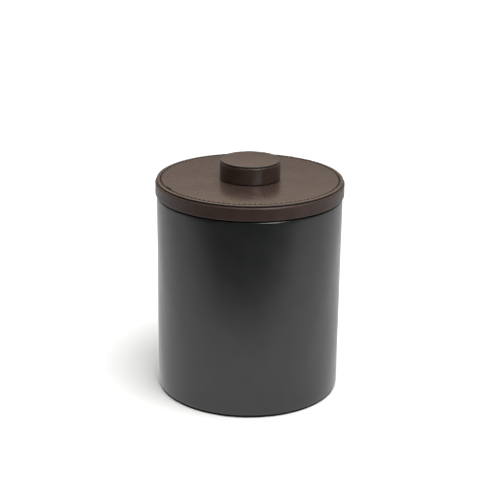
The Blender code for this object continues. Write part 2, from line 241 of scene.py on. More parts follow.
def scratched_leather(name):
    """The black hide with hairline scratches that follow the wall's own UV map."""
    material = leather(name, "#1b1c1d", "#111213", 0.22, 0.5, 2.0, (1.0, 1.0, 2.0))
    tree = material.node_tree
    shader = tree.nodes["Principled BSDF"]
    wall = add_node(tree, "ShaderNodeUVMap", {"uv_map": "surface"}).outputs["UV"]
    tilted = mapped(tree, wall, rotation=(0.0, 0.0, SCRATCH_SLANT))
    lines = add_node(tree, "ShaderNodeTexNoise", {"noise_dimensions": "2D"},
                     {"Vector": mapped(tree, tilted, SCRATCH_STRETCH), "Scale": 1.0, "Detail": 1.0})
    thin = spread(tree, lines.outputs["Fac"], 0.0, 1.0, 0.76, 0.82)
    patches = spread(tree, speckle(tree, wall, 0.05, detail=1.0), 0.0, 1.0, 0.58, 0.70)
    marks = calculate(tree, "MULTIPLY", thin, patches)
    dust = spread(tree, speckle(tree, wall, 0.0012, detail=0.0), 0.0, 1.0, 0.84, 0.88)
    dyed = shader.inputs["Base Color"].links[0].from_socket
    smooth = shader.inputs["Roughness"].links[0].from_socket
    worn = mixed_colour(tree, spread(tree, marks, 0.0, 0.10, 0.0, 1.0), dyed, linear("#5a5a5a"))
    fill(tree, shader, {
        "Base Color": mixed_colour(tree, spread(tree, dust, 0.0, 0.08, 0.0, 1.0), worn, linear("#7a7a7a")),
        "Roughness": calculate(tree, "MULTIPLY_ADD", marks, 0.10, smooth),
    })
    return material


black_hide = scratched_leather("black smooth calf leather")
print("made", black_hide.name)

# %% [markdown]
# A cut leather edge shows fibres. Makers sand it and brush on edge dye, which fills it to a darker,
# smoother and slightly uneven band. Waxed linen thread is dull, and its fibres run along the strands.

# %% Edge dye and thread
FIBRE_DEPTH = 0.00004


def edge_dye(name):
    """Dyed and burnished cut edge of the brown leather."""
    material, tree, shader, place = start_material(name)
    fibres = speckle(tree, mapped(tree, place, (1.0, 1.0, 6.0)), 0.0012, detail=3.0)
    fill(tree, shader, {
        "Base Color": two_tone(tree, fibres, "#0e0908", "#1b130f"),
        "Roughness": spread(tree, fibres, 0.55, 0.70),
        "Specular IOR Level": 0.3,
        "Normal": bump(tree, fibres, FIBRE_DEPTH),
    })
    return material


def waxed_thread(name):
    """Dark brown waxed linen thread."""
    material, tree, shader, place = start_material(name)
    fibres = speckle(tree, place, 0.00025)
    fill(tree, shader, {
        "Base Color": two_tone(tree, fibres, "#0d0908", "#231815"),
        "Roughness": 0.85,
        "Specular IOR Level": 0.05,
        "Normal": bump(tree, fibres, FIBRE_DEPTH),
    })
    return material


dyed_edge = edge_dye("burnished and dyed leather edge")
thread = waxed_thread("waxed linen thread")
print("made", dyed_edge.name, "and", thread.name)

# %% [markdown]
# ## Metals
# The liner is deep-drawn stainless steel whose inside is brushed while it spins, so its hairlines run
# round the wall and in rings on the floor. Both follow from one number, radius plus height, which
# changes across the lines on either surface. Screws are zinc plated, and the knob's insert is brass
# from a lathe, with the same ring-shaped tool marks.

# %% Metals
LINE_BREAKS = 22.0


def ring_lines(tree, place, line):
    """Fine lines that run round the Z axis, on walls and floors alike, line metres apart."""
    split = parts_of(tree, place)
    flat = combined(tree, X=split["X"], Y=split["Y"])
    radius = add_node(tree, "ShaderNodeVectorMath", {"operation": "LENGTH"}, {0: flat})
    across = calculate(tree, "ADD", radius.outputs["Value"], split["Z"])
    counted = combined(tree, X=split["X"], Y=split["Y"], Z=calculate(tree, "DIVIDE", across, line))
    drawn = mapped(tree, counted, (LINE_BREAKS, LINE_BREAKS, 1.0))
    return speckle(tree, drawn, 1.0, detail=3.0, roughness=0.6)


def ringed_metal(name, light, dark, roughness, line, depth):
    """A turned or spun metal with ring-shaped marks, line apart and depth deep."""
    material, tree, shader, place = start_material(name)
    lines = ring_lines(tree, place, line)
    marks = calculate(tree, "MULTIPLY_ADD", speckle(tree, place, 0.03), 0.5, lines)
    fill(tree, shader, {
        "Base Color": two_tone(tree, lines, dark, light),
        "Metallic": 1.0,
        "Roughness": spread(tree, marks, roughness - 0.06, roughness + 0.10, 0.4, 1.1),
        "Normal": bump(tree, lines, depth),
    })
    return material


def zinc_plate(name):
    """Bright zinc plating with the faint crystal pattern that it forms."""
    material, tree, shader, place = start_material(name)
    crystals = add_node(tree, "ShaderNodeTexVoronoi", None,
                        {"Vector": place, "Scale": 1.0 / 0.0009}).outputs["Distance"]
    fill(tree, shader, {
        "Base Color": mixed_colour(tree, crystals, linear("#c9ccd0"), linear("#a8abb0")),
        "Metallic": 1.0,
        "Roughness": spread(tree, crystals, 0.24, 0.38, 0.0, 0.8),
    })
    return material


spun_steel = ringed_metal("brushed stainless steel", "#c9c9c6", "#aeaeab", 0.24, 0.00045, 0.000006)
turned_brass = ringed_metal("lathe-turned brass", "#d8b46c", "#b8924a", 0.28, 0.0004, 0.00001)
plated_steel = zinc_plate("zinc-plated steel")
print("made", spun_steel.name, turned_brass.name, plated_steel.name)

# %% [markdown]
# ## The plain materials
# Moulded ABS takes the fine matt texture of its spark-eroded mould. Silicone is dull and a little milky.
# Microsuede is a nap of short fibres, so light from the side catches it, which sheen gives. Fibreboard,
# card, foam and beech are hidden once the bucket is made, yet each still has what shows that it was
# sawn, rolled, blown or grown.

# %% Plastics and suede
def moulded(name, light, dark, roughness, grain, depth):
    """A moulded surface: an even colour with a fine texture from the mould."""
    material, tree, shader, place = start_material(name)
    texture = speckle(tree, place, grain)
    fill(tree, shader, {
        "Base Color": two_tone(tree, texture, dark, light),
        "Roughness": spread(tree, texture, roughness - 0.05, roughness + 0.08),
        "Normal": bump(tree, texture, depth),
    })
    return material


def suede(name):
    """Microsuede: dark fibres whose tips catch light from the side."""
    material = moulded(name, "#111111", "#070707", 0.9, 0.0005, 0.0001)
    tree = material.node_tree
    nap = {"Specular IOR Level": 0.2, "Sheen Weight": 0.08, "Sheen Roughness": 0.5}
    fill(tree, tree.nodes["Principled BSDF"], nap)
    return material


black_abs = moulded("moulded black ABS", "#222324", "#18191a", 0.42, 0.0004, 0.00002)
silicone = moulded("black silicone rubber", "#1e1e1f", "#151516", 0.55, 0.0008, 0.00001)
microsuede = suede("black microsuede")
print("made", black_abs.name, silicone.name, microsuede.name)

# %% Board, card, foam and beech
def fibreboard(name):
    """Medium-density fibreboard: tan fibres pressed flat."""
    material, tree, shader, place = start_material(name)
    fibres = speckle(tree, mapped(tree, place, (1.0, 1.0, 5.0)), 0.0015, detail=5.0, roughness=0.7)
    fill(tree, shader, {
        "Base Color": two_tone(tree, fibres, "#8a6a4a", "#b8946c"),
        "Roughness": 0.85,
        "Normal": bump(tree, fibres, 0.00006),
    })
    return material


def beech(name):
    """Beech turned with its grain upright: pale wood with short dark rays."""
    material, tree, shader, place = start_material(name)
    rings = add_node(tree, "ShaderNodeTexWave", {"wave_type": "RINGS", "rings_direction": "Z"},
                     {"Vector": place, "Scale": 60.0, "Distortion": 3.0, "Detail": 2.0})
    flecks = speckle(tree, mapped(tree, place, (1.0, 1.0, 0.12)), 0.0008, detail=3.0)
    base = mixed_colour(tree, rings.outputs["Fac"], linear("#c39a6b"), linear("#d4b083"))
    rays = spread(tree, flecks, 0.0, 0.6, 0.55, 0.75)
    fill(tree, shader, {
        "Base Color": mixed_colour(tree, rays, base, linear("#8d633c")),
        "Roughness": 0.55,
        "Normal": bump(tree, flecks, 0.00003),
    })
    return material


board = fibreboard("medium-density fibreboard")
card = moulded("pressed leather-fibre card", "#8c8479", "#6f675c", 0.85, 0.0012, 0.00004)
foam = moulded("closed-cell polyethylene foam", "#e2e1dc", "#c8c7c1", 0.9, 0.0014, 0.0002)
beech_wood = beech("turned beech")
print("made", board.name, card.name, foam.name, beech_wood.name)

# %% [markdown]
# ## Turning a closed outline
# A bowl, a band and a disc are all one outline spun about the Z axis. Blender's Screw modifier could do
# it, but here the rings are computed directly: that gives a UV map in true metres, a free choice of
# angles where a seam needs more points, and a place to add relief along each point's normal. Outlines
# are corners with a radius, so a rounded leather fold is one number. They run so that the solid is on
# the left, from the axis below to the axis above, and the faces then point outwards.

# %% Outlines
def rounded(corners, spacing=0.002):
    """Corners (radius, height, rounding) as points, with fine arcs and evenly divided straights."""
    points = []
    for index, corner in enumerate(corners):
        here = Vector(corner[:2])
        rounding = corner[2] if len(corner) == 3 else 0.0
        if rounding == 0.0:
            points.append(here)
            continue
        before = (Vector(corners[index - 1][:2]) - here).normalized()
        after = (Vector(corners[(index + 1) % len(corners)][:2]) - here).normalized()
        half = before.angle(after) / 2
        centre = here + (before + after).normalized() * rounding / math.sin(half)
        start = here + before * rounding / math.tan(half) - centre
        end = here + after * rounding / math.tan(half) - centre
        sweep = end.angle_signed(start)
        steps = max(4, math.ceil(abs(sweep) / math.radians(9.0)))
        points += [centre + Matrix.Rotation(sweep * step / steps, 2) @ start for step in range(steps + 1)]
    closed = points[0].x > 0.0 or points[-1].x > 0.0
    outline = []
    for index, point in enumerate(points):
        outline.append(point)
        if index + 1 == len(points) and not closed:
            break
        following = points[(index + 1) % len(points)]
        parts = math.ceil((following - point).length / spacing)
        outline += [point.lerp(following, part / parts) for part in range(1, parts)]
    return np.array([tuple(point) for point in outline])


def disc_section(radius, low, high, lower_edge, upper_edge, spacing):
    """The outline of a solid disc whose two edges have these roundings."""
    return rounded([(0.0, low), (radius, low, lower_edge), (radius, high, upper_edge), (0.0, high)], spacing)


def radius_and_heights(node):
    """A turned CAD node's outer radius, its lowest height and its highest."""
    low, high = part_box(node)
    return high.x, low.z, high.z


body_radius, body_low, body_high = radius_and_heights("body_wrap")
print("body cover: radius", round(body_radius, 4), "from", round(body_low, 4), "to", round(body_high, 4))

# %% The turning function
BACK = math.pi / 2


def even_angles(count, seam=None):
    """Angles round the axis, with extra ones close to a seam so that its groove is sharp."""
    angles = np.arange(count) * math.tau / count
    if seam is not None:
        beside = np.array([0.0002, 0.0004, 0.0007, 0.0011, 0.0017, 0.0026, 0.0038]) / seam
        angles = np.concatenate([angles, BACK + beside, BACK - beside])
    return np.unique(np.round(angles, 7))


def turn(name, outline, angles, relief=None):
    """Spin an outline about Z; relief(radius, height, angle, normal) lifts points along their normals."""
    on_axis = outline[0, 0] == 0.0 and outline[-1, 0] == 0.0
    along = np.roll(outline, -1, axis=0) - np.roll(outline, 1, axis=0)
    if on_axis:
        along[0], along[-1] = (1.0, 0.0), (-1.0, 0.0)
    normal = np.stack([along[:, 1], -along[:, 0]], axis=1)
    normal /= np.linalg.norm(normal, axis=1)[:, None]
    radius, turn_angle = np.meshgrid(outline[:, 0], angles, indexing="ij")
    height = np.repeat(outline[:, 1][:, None], len(angles), axis=1)
    if relief is not None:
        facing = np.repeat(normal[:, None, :], len(angles), axis=1)
        lift = relief(radius, height, turn_angle, facing)
        if on_axis:
            lift[0], lift[-1] = lift[0].mean(), lift[-1].mean()
        radius = radius + lift * facing[:, :, 0] * (radius > 0.0)
        height = height + lift * facing[:, :, 1]
    points = np.stack([radius * np.cos(turn_angle), radius * np.sin(turn_angle), height], axis=2)
    return mesh_from_rings(name, points, outline, angles, on_axis)


def mesh_from_rings(name, points, outline, angles, on_axis):
    """Join rings of points into one closed mesh whose UV map is in metres."""
    rings, count = points.shape[:2]
    step_lengths = np.linalg.norm(np.diff(outline, axis=0, append=outline[:1]), axis=1)
    travelled = np.concatenate([[0.0], np.cumsum(step_lengths)])
    round_trip = np.append(angles, angles[0] + math.tau) * outline[:, 0].max()
    inner = range(1, rings - 1) if on_axis else range(rings)
    place = {ring: index * count for index, ring in enumerate(inner)}
    vertices = [points[ring] for ring in inner]
    if on_axis:
        poles = len(place) * count
        vertices += [points[0, :1] * (0, 0, 1), points[-1, :1] * (0, 0, 1)]
    faces, uvs = [], []
    for ring in range(rings - 1 if on_axis else rings):
        after = (ring + 1) % rings
        low, high = travelled[ring], travelled[ring + 1]
        for spoke in range(count):
            beside = (spoke + 1) % count
            left, right = round_trip[spoke], round_trip[spoke + 1]
            if on_axis and ring == 0:
                faces.append((poles, place[after] + beside, place[after] + spoke))
                uvs += [(left, low), (right, high), (left, high)]
            elif on_axis and after == rings - 1:
                faces.append((place[ring] + spoke, place[ring] + beside, poles + 1))
                uvs += [(left, low), (right, low), (left, high)]
            else:
                faces.append((place[ring] + spoke, place[ring] + beside,
                              place[after] + beside, place[after] + spoke))
                uvs += [(left, low), (right, low), (right, high), (left, high)]
    mesh = bpy.data.meshes.new(name)
    mesh.from_pydata(np.concatenate(vertices).tolist(), [], faces)
    layer = mesh.uv_layers.new(name="surface")
    layer.data.foreach_set("uv", np.array(uvs, np.float32).ravel())
    mesh.shade_smooth()
    return add_object(name, mesh)


def finish_piece(piece, materials, body, nodes):
    """Give a piece its materials, put it on its body and let it stand for its CAD nodes."""
    for material in materials:
        piece.data.materials.append(material)
    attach(piece, body)
    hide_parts(*nodes)
    print(piece.name, "has", sum(len(face.vertices) - 2 for face in piece.data.polygons), "triangles")


# %% [markdown]
# ## Slow waves in stretched hide
# Hide pulled over a rigid tube isn't a perfect cylinder: glue, pulling and the tube's own skin leave
# waves a few centimetres long and some hundredths of a millimetre deep. They can't be seen as shape, but
# they make the long reflections waver. A sum of sine waves that close on themselves round the axis gives
# them without a seam, and a fixed seed keeps them the same every time.

# %% Waves and the back seam
BODY_WAVE = 0.00005


def waves(angle, height, seed, count=14, most_round=15, steepest=70.0):
    """A smooth pattern between about -1 and 1 that closes on itself round the axis."""
    chance = np.random.default_rng(seed)
    total = np.zeros_like(angle)
    for _ in range(count):
        around = chance.integers(1, most_round)
        upward = chance.uniform(-steepest, steepest)
        phase = chance.uniform(0.0, math.tau)
        total += np.sin(around * angle + upward * height + phase)
    return total / math.sqrt(count)


def bell(distance, width):
    """A smooth rise to 1 that has died away within about twice its width."""
    return np.exp(-(distance / width) ** 2)


def seam_groove(radius, angle, width, depth):
    """A narrow V at the back, with low lips, where the two ends of the hide meet."""
    distance = np.abs(angle - BACK) * radius
    return 0.25 * depth * bell(distance - 2.6 * width, 1.4 * width) - depth * bell(distance, width)


print("waves are", BODY_WAVE * 1000, "mm high on the body")

# %% [markdown]
# ## The black cover
# One piece of hide, wrapped round the tube, turned over its top edge into the mouth and under its foot.
# The outline is that C shape. The ends meet in a butt seam at the back.

# %% Black cover
HIDE = 0.0014
GLUE = 0.0003
TURNED_IN = 0.0144
COVER_SEAM = 0.00045
fold_radius = radius_and_heights("base_card")[0] + GLUE
mouth_radius = radius_and_heights("inner_shell")[0] + GLUE


def cover_relief(radius, height, angle, facing):
    """Slow waves on the outside, and the seam at the back and over the top."""
    outside = np.clip(facing[:, :, 0], 0.0, 1.0) * (radius > body_radius - 0.004)
    above = (facing[:, :, 1] > 0.5) * 1.0
    slow = BODY_WAVE * waves(angle, height, 11) + 0.5 * BODY_WAVE * waves(angle, height, 12, 18, 30, 160.0)
    return slow * outside + seam_groove(radius, angle, COVER_SEAM, COVER_SEAM) * np.maximum(outside, above)


cover_outline = rounded([
    (fold_radius, body_low),
    (body_radius, body_low, 0.0020),
    (body_radius, body_high + 0.0007, 0.0018),
    (mouth_radius, body_high + 0.0002, 0.0026),
    (mouth_radius, body_high - TURNED_IN),
    (mouth_radius + HIDE - 0.0001, body_high - TURNED_IN),
    (mouth_radius + HIDE, body_high - HIDE, 0.0012),
    (body_radius - HIDE, body_high - HIDE, 0.0012),
    (body_radius - HIDE, body_low + HIDE),
    (fold_radius, body_low + HIDE),
], spacing=0.0035)
cover = turn("black_leather_cover", cover_outline, even_angles(300, body_radius), cover_relief)
finish_piece(cover, [black_hide], "bucket", ["body_wrap"])

# %% [markdown]
# ## The lid's band and the knob's band
# Both are strips of brown hide round a board's edge, folded over its top and bottom. The folds are crisp,
# because the hide is thinned there, so each has a small radius that catches a thin line of light.

# %% Folded bands
BAND_WAVE = 0.00004
BAND_SEAM = 0.0004
PULLED_IN = 0.00006


def folded_band(name, node, inner, hide, fold, seed, count):
    """A strip round a board's edge with both edges folded in, and a butt seam at the back."""
    radius, low, high = radius_and_heights(node)
    outline = rounded([
        (inner, low),
        (radius, low, fold),
        (radius, high, fold * 1.3),
        (inner, high),
        (inner, high - hide),
        (radius - hide, high - hide),
        (radius - hide, low + hide),
        (inner, low + hide),
    ], spacing=0.0014)

    def relief(at_radius, height, angle, facing):
        """Slow waves, a middle that is pulled in a little, and the seam."""
        outside = np.clip(facing[:, :, 0], 0.0, 1.0) * (at_radius > radius - 2.0 * fold)
        slow = BAND_WAVE * (waves(angle, height, seed, 14, 24, 120.0) - 1.0)
        middle = (height - (low + high) / 2) / ((high - low) / 2)
        pulled = PULLED_IN * (1.0 - middle ** 2)
        return (slow - pulled + seam_groove(at_radius, angle, BAND_SEAM, BAND_SEAM)) * outside

    return turn(name, outline, even_angles(count, radius), relief)


lid_inner = radius_and_heights("lid_card")[0] + GLUE
knob_inner = radius_and_heights("knob_upper_card")[0] + GLUE
lid_band = folded_band("lid_band_leather", "lid_band", lid_inner, HIDE, 0.0011, 21, 320)
finish_piece(lid_band, [band_hide], "lid", ["lid_band"])
knob_band = folded_band("knob_band_leather", "knob_band", knob_inner, 0.0012, 0.0009, 22, 160)
finish_piece(knob_band, [band_hide], "lid", ["knob_band"])

# %% [markdown]
# ## The sewn disc on the lid
# A disc of hide is cut a little smaller than the lid, a groove is pressed 4 mm inside its edge, and
# waxed thread is sewn along it at five millimetres a stitch. The thread pulls the groove down, the rim
# outside it swells, and each needle hole is a dimple. The relief function draws all three, and the ring
# of angles has a whole number of points for each stitch, so that every hole looks the same.

# %% Sewn lid disc
STITCH_PITCH = 0.0050
STITCH_INSET = 0.0041
KNOB_BORE = 0.0035
disc_radius, disc_low, disc_high = radius_and_heights("lid_top_disc")
stitch_radius = disc_radius - STITCH_INSET
stitch_count = round(math.tau * stitch_radius / STITCH_PITCH)
print("the lid has", stitch_count, "stitches on a radius of", round(stitch_radius, 4))


def from_hole(angle):
    """Distance along the sewn row to the nearest needle hole."""
    turn_part = (angle * stitch_count / math.tau + 0.5) % 1.0 - 0.5
    return (0.5 - np.abs(turn_part)) * STITCH_PITCH


def disc_relief(radius, height, angle, facing):
    """Groove, swollen rim, needle holes and slow waves on a sewn disc's upper face, which is set a little
    lower.
    """
    up = np.clip(facing[:, :, 1], 0.0, 1.0)
    across = radius - stitch_radius
    along = from_hole(angle)
    groove = 0.00030 * bell(across, 0.0007)
    rim = 0.00012 * bell(across - 0.0019, 0.0011)
    holes = 0.00040 * bell(along, 0.0007) * bell(across, 0.0005)
    tight = 0.00006 * bell(along, 0.0012) * bell(across, 0.0016)
    slow = 0.00005 * waves(angle, radius, 31, 12, 8, 60.0) * np.clip(radius / 0.03, 0.0, 1.0)
    return up * (rim - groove - holes - tight + slow - 0.00008)


groove_rings = stitch_radius + np.linspace(-0.0022, 0.0022, 23)
disc_outline = np.concatenate([
    [(KNOB_BORE, disc_low), (disc_radius * 0.5, disc_low), (disc_radius - 0.0004, disc_low)],
    [(disc_radius - 0.0001, disc_low + 0.0003), (disc_radius, disc_low + 0.0007)],
    [(disc_radius - 0.0005 * (1 - math.cos(turn_by)), disc_high - 0.0005 * (1 - math.sin(turn_by)))
     for turn_by in np.linspace(0.0, math.pi / 2, 8)],
    [(ring, disc_high) for ring in groove_rings[::-1]],
    [(ring, disc_high) for ring in np.linspace(stitch_radius - 0.0045, KNOB_BORE, 22)],
])
lid_disc = turn("lid_top_leather", disc_outline, even_angles(stitch_count * 8), disc_relief)


def mark_edge(piece, radius, low, high):
    """Give the faces of a disc's cut edge the second material."""
    for face in piece.data.polygons:
        outer = math.hypot(face.center.x, face.center.y) > radius - 0.0006
        face.material_index = 1 if outer and low - 0.001 < face.center.z < high - 0.0003 else 0


def mark_painted_stitch_shade(piece):
    """Store the stitches' painted shade along the sewn groove, strongest under the thread, for the hide's
    material to darken.
    """
    places = np.empty(len(piece.data.vertices) * 3, np.float32)
    piece.data.vertices.foreach_get("co", places)
    x, y, height = places.reshape(-1, 3).T
    along = from_hole(np.arctan2(y, x))
    under_thread = np.clip((along - 0.0005) / 0.0006, 0.0, 1.0)
    beside = bell(np.hypot(x, y) - stitch_radius, 0.0010)
    amount = beside * (0.30 + 0.65 * under_thread) * (height > disc_high - 0.001)
    painted_stitch_shade = piece.data.attributes.new("painted_stitch_shade", "FLOAT", "POINT")
    painted_stitch_shade.data.foreach_set("value", amount.astype(np.float32))


mark_edge(lid_disc, disc_radius, disc_low, disc_high)
mark_painted_stitch_shade(lid_disc)
finish_piece(lid_disc, [brown_hide, dyed_edge], "lid", ["lid_top_disc"])

# %% [markdown]
# The knob's disc is cut from the same hide and glued down without sewing.

# %% Knob disc
cap_radius, cap_low, cap_high = radius_and_heights("knob_top_disc")


def cap_relief(radius, height, angle, facing):
    """A disc that sinks a little toward its edge, with slow waves there."""
    up = np.clip(facing[:, :, 1], 0.0, 1.0)
    toward_edge = (radius / cap_radius) ** 2
    wavy = 0.00005 * waves(angle, radius, 41, 10, 9, 60.0)
    return up * (toward_edge * (wavy - 0.00022) - 0.00005)


cap_outline = disc_section(cap_radius, cap_low, cap_high, 0.0003, 0.0005, 0.0012)
knob_disc = turn("knob_top_leather", cap_outline, even_angles(180), cap_relief)
mark_edge(knob_disc, cap_radius, cap_low, cap_high)
finish_piece(knob_disc, [brown_hide, dyed_edge], "lid", ["knob_top_disc"])

# %% [markdown]
# ## Stitches with Geometry Nodes
# A stitch is a short length of two twisted strands that rises out of one needle hole and dips into the
# next. It is the same stitch more than a hundred times round a circle, which is what instancing is for.
# The tree makes one stitch from two spirals, arches it, and puts it on every point of a circle, turned
# to follow the circle with a small slant and a little seeded unevenness. Its sizes are named inputs.

# %% Helpers for geometry
def geometry_tree(name, sockets):
    """A geometry node group with a geometry output and the named inputs (name, socket type)."""
    tree = bpy.data.node_groups.new(name, "GeometryNodeTree")
    tree.interface.new_socket("Geometry", in_out="OUTPUT", socket_type="NodeSocketGeometry")
    for label, kind in sockets:
        tree.interface.new_socket(label, in_out="INPUT", socket_type=kind)
    return tree, tree.nodes.new("NodeGroupInput").outputs


def moved(tree, geometry, **inputs):
    """Geometry through a Transform node; the inputs are Translation and Rotation."""
    return add_node(tree, "GeometryNodeTransform", None, {"Geometry": geometry, **inputs}).outputs["Geometry"]


def close_tree(tree, geometry, material):
    """End the tree: instances made real, then the material, then the output."""
    real = add_node(tree, "GeometryNodeRealizeInstances", None, {"Geometry": geometry})
    painted = add_node(tree, "GeometryNodeSetMaterial", None,
                       {"Geometry": real.outputs["Geometry"], "Material": material})
    add_node(tree, "NodeGroupOutput", None, {"Geometry": painted.outputs["Geometry"]})


def keep_result(piece):
    """Give a piece the plain mesh that its modifiers make, and remove them."""
    depsgraph = bpy.context.evaluated_depsgraph_get()
    mesh = bpy.data.meshes.new_from_object(piece.evaluated_get(depsgraph), depsgraph=depsgraph)
    piece.modifiers.clear()
    piece.data = mesh


def grow(name, tree, values):
    """Run a tree on an empty mesh with these input values and keep the result."""
    piece = add_object(name, bpy.data.meshes.new(name))
    modifier = piece.modifiers.new(name, "NODES")
    modifier.node_group = tree
    for item in tree.interface.items_tree:
        if item.in_out == "INPUT" and item.name in values:
            modifier[item.identifier] = values[item.name]
    keep_result(piece)
    piece.data.shade_smooth()
    return piece


print("geometry helpers ready")

# %% The stitch tree
FLOAT, WHOLE = "NodeSocketFloat", "NodeSocketInt"
UNEVEN = 0.045
stitch_tree, given = geometry_tree("stitches_on_a_circle", [
    ("Circle Radius", FLOAT), ("Height", FLOAT), ("Stitches", WHOLE), ("Kept", WHOLE),
    ("First Angle", FLOAT), ("Length", FLOAT), ("Strand Radius", FLOAT), ("Dip", FLOAT),
    ("Slant", FLOAT), ("Seed", WHOLE), ("Material", "NodeSocketMaterial"),
])


def place_parts(tree):
    """X, Y and Z of the point that is being worked on."""
    return parts_of(tree, add_node(tree, "GeometryNodeInputPosition").outputs[0])


def twisted_strand(tree, half_turn):
    """One of the two strands: a spiral laid along X, that dips at both ends."""
    spiral = add_node(tree, "GeometryNodeCurveSpiral", None,
                      {"Resolution": 7, "Rotations": 1.0, "Start Radius": given["Strand Radius"],
                       "End Radius": given["Strand Radius"], "Height": given["Length"]})
    laid = moved(tree, spiral.outputs["Curve"], Rotation=(half_turn, math.radians(90.0), 0.0))
    half = calculate(tree, "MULTIPLY", given["Length"], -0.5)
    centred = moved(tree, laid, Translation=combined(tree, X=half))
    share = calculate(tree, "ABSOLUTE", calculate(tree, "DIVIDE", place_parts(tree)["X"], half))
    drop = calculate(tree, "MULTIPLY", calculate(tree, "POWER", share, 3.0), given["Dip"])
    down = combined(tree, Z=calculate(tree, "MULTIPLY", drop, -1.0))
    arched = add_node(tree, "GeometryNodeSetPosition", None, {"Geometry": centred, "Offset": down})
    section = add_node(tree, "GeometryNodeCurvePrimitiveCircle", None,
                       {"Resolution": 5, "Radius": given["Strand Radius"]})
    return add_node(tree, "GeometryNodeCurveToMesh", None,
                    {"Curve": arched.outputs["Geometry"], "Profile Curve": section.outputs["Curve"],
                     "Fill Caps": True}).outputs["Mesh"]


both = add_node(stitch_tree, "GeometryNodeJoinGeometry")
for half_turn in (0.0, math.pi):
    stitch_tree.links.new(twisted_strand(stitch_tree, half_turn), both.inputs["Geometry"])
circle = add_node(stitch_tree, "GeometryNodeMeshCircle", None,
                  {"Vertices": given["Stitches"], "Radius": given["Circle Radius"]})
index = add_node(stitch_tree, "GeometryNodeInputIndex").outputs[0]
unused = add_node(stitch_tree, "FunctionNodeCompare", {"data_type": "INT", "operation": "GREATER_EQUAL"},
                  {2: index, 3: given["Kept"]})
points = add_node(stitch_tree, "GeometryNodeDeleteGeometry", {"domain": "POINT"},
                  {"Geometry": circle.outputs["Mesh"], "Selection": unused.outputs["Result"]})
where = place_parts(stitch_tree)
heading = calculate(stitch_tree, "ARCTAN2", where["Y"], where["X"])
uneven = add_node(stitch_tree, "FunctionNodeRandomValue", {"data_type": "FLOAT"},
                  {2: -UNEVEN, 3: UNEVEN, "Seed": given["Seed"]})
slanted = calculate(stitch_tree, "ADD", given["Slant"], uneven.outputs[1])
tangent = calculate(stitch_tree, "ADD", calculate(stitch_tree, "ADD", heading, slanted), math.pi / 2)
sewn = add_node(stitch_tree, "GeometryNodeInstanceOnPoints", None,
                {"Points": points.outputs["Geometry"], "Instance": both.outputs["Geometry"],
                 "Rotation": combined(stitch_tree, Z=tangent)})
placed = moved(stitch_tree, sewn.outputs["Instances"], Translation=combined(stitch_tree, Z=given["Height"]),
               Rotation=combined(stitch_tree, Z=given["First Angle"]))
close_tree(stitch_tree, placed, given["Material"])
print("stitch tree has", len(stitch_tree.nodes), "nodes")

# %% [markdown]
# The ring of stitches starts and ends at one point, where the sewer goes over the last two stitches
# again to lock the thread. That overlap is the same tree with only two stitches kept: thicker, a little
# higher and a little further in.

# %% Sewing the lid
OVERLAP_ANGLE = math.radians(206.5)
sewing = {
    "Circle Radius": stitch_radius,
    "Height": disc_high - 0.00018,
    "Stitches": stitch_count,
    "Kept": stitch_count,
    "First Angle": 0.0,
    "Length": 0.0036,
    "Strand Radius": 0.00033,
    "Dip": 0.00045,
    "Slant": math.radians(9.0),
    "Seed": 7,
    "Material": thread,
}
stitches = grow("lid_stitches", stitch_tree, sewing)
overlap = dict(sewing, Kept=2, Height=disc_high + 0.00015, Seed=8)
overlap["First Angle"] = round(OVERLAP_ANGLE * stitch_count / math.tau) * math.tau / stitch_count
overlap["Circle Radius"] = stitch_radius - 0.0007
overlap["Strand Radius"] = 0.00045
locked = grow("lid_stitch_overlap", stitch_tree, overlap)
for sewn_piece in (stitches, locked):
    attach(sewn_piece, "lid")
    print(sewn_piece.name, "has", len(sewn_piece.data.polygons), "faces")

# %% [markdown]
# ## The foot, the inner shell and the liner
# A suede pad covers the bottom and keeps the bucket from scratching a table. Inside, a moulded black
# shell closes off the foam, and the steel liner hangs in it by its flat rim. The liner is deep-drawn
# sheet, so wall, rim and floor are one thickness with generous radii between them, and its free edge is
# rounded where it was trimmed and polished.

# %% Foot pad, shell and liner
pad_radius, pad_low, pad_high = radius_and_heights("base_pad")
foot = turn("foot_pad", disc_section(pad_radius, pad_low, pad_high, 0.0006, 0.0004, 0.004), even_angles(160))
finish_piece(foot, [microsuede], "bucket", ["base_pad"])

SHELL_WALL = 0.0016
SHELL_INSET = 0.0106
STEEL = 0.0008
RIM = 0.0010
RIM_WIDTH = 0.0130
shell_radius, shell_low, shell_high = radius_and_heights("inner_shell")
rim_radius, cup_low, rim_high = radius_and_heights("liner_cup")
shell_outer = rim_radius - SHELL_INSET
cup_outer = rim_radius - RIM_WIDTH
cup_inner = cup_outer - STEEL
shell_outline = rounded([
    (0.0, shell_low),
    (shell_outer, shell_low, 0.0050),
    (shell_outer, shell_high - SHELL_WALL, 0.0004),
    (shell_radius, shell_high - SHELL_WALL, 0.0003),
    (shell_radius, shell_high, 0.0006),
    (shell_outer - SHELL_WALL, shell_high, 0.0010),
    (shell_outer - SHELL_WALL, shell_low + SHELL_WALL, 0.0034),
    (0.0, shell_low + SHELL_WALL),
], spacing=0.005)
shell = turn("inner_shell_moulding", shell_outline, even_angles(180))
finish_piece(shell, [black_abs], "bucket", ["inner_shell"])


def liner_relief(radius, height, angle, facing):
    """Shallow waves left by spinning, on the wall only, and a small centring dimple in the floor."""
    wall = np.abs(facing[:, :, 0]) * (radius < cup_outer + 0.0001)
    dimple = 0.00025 * bell(radius, 0.004) * np.clip(facing[:, :, 1], 0.0, 1.0)
    return 0.00003 * waves(angle, height, 51, 10, 7, 90.0) * wall - dimple


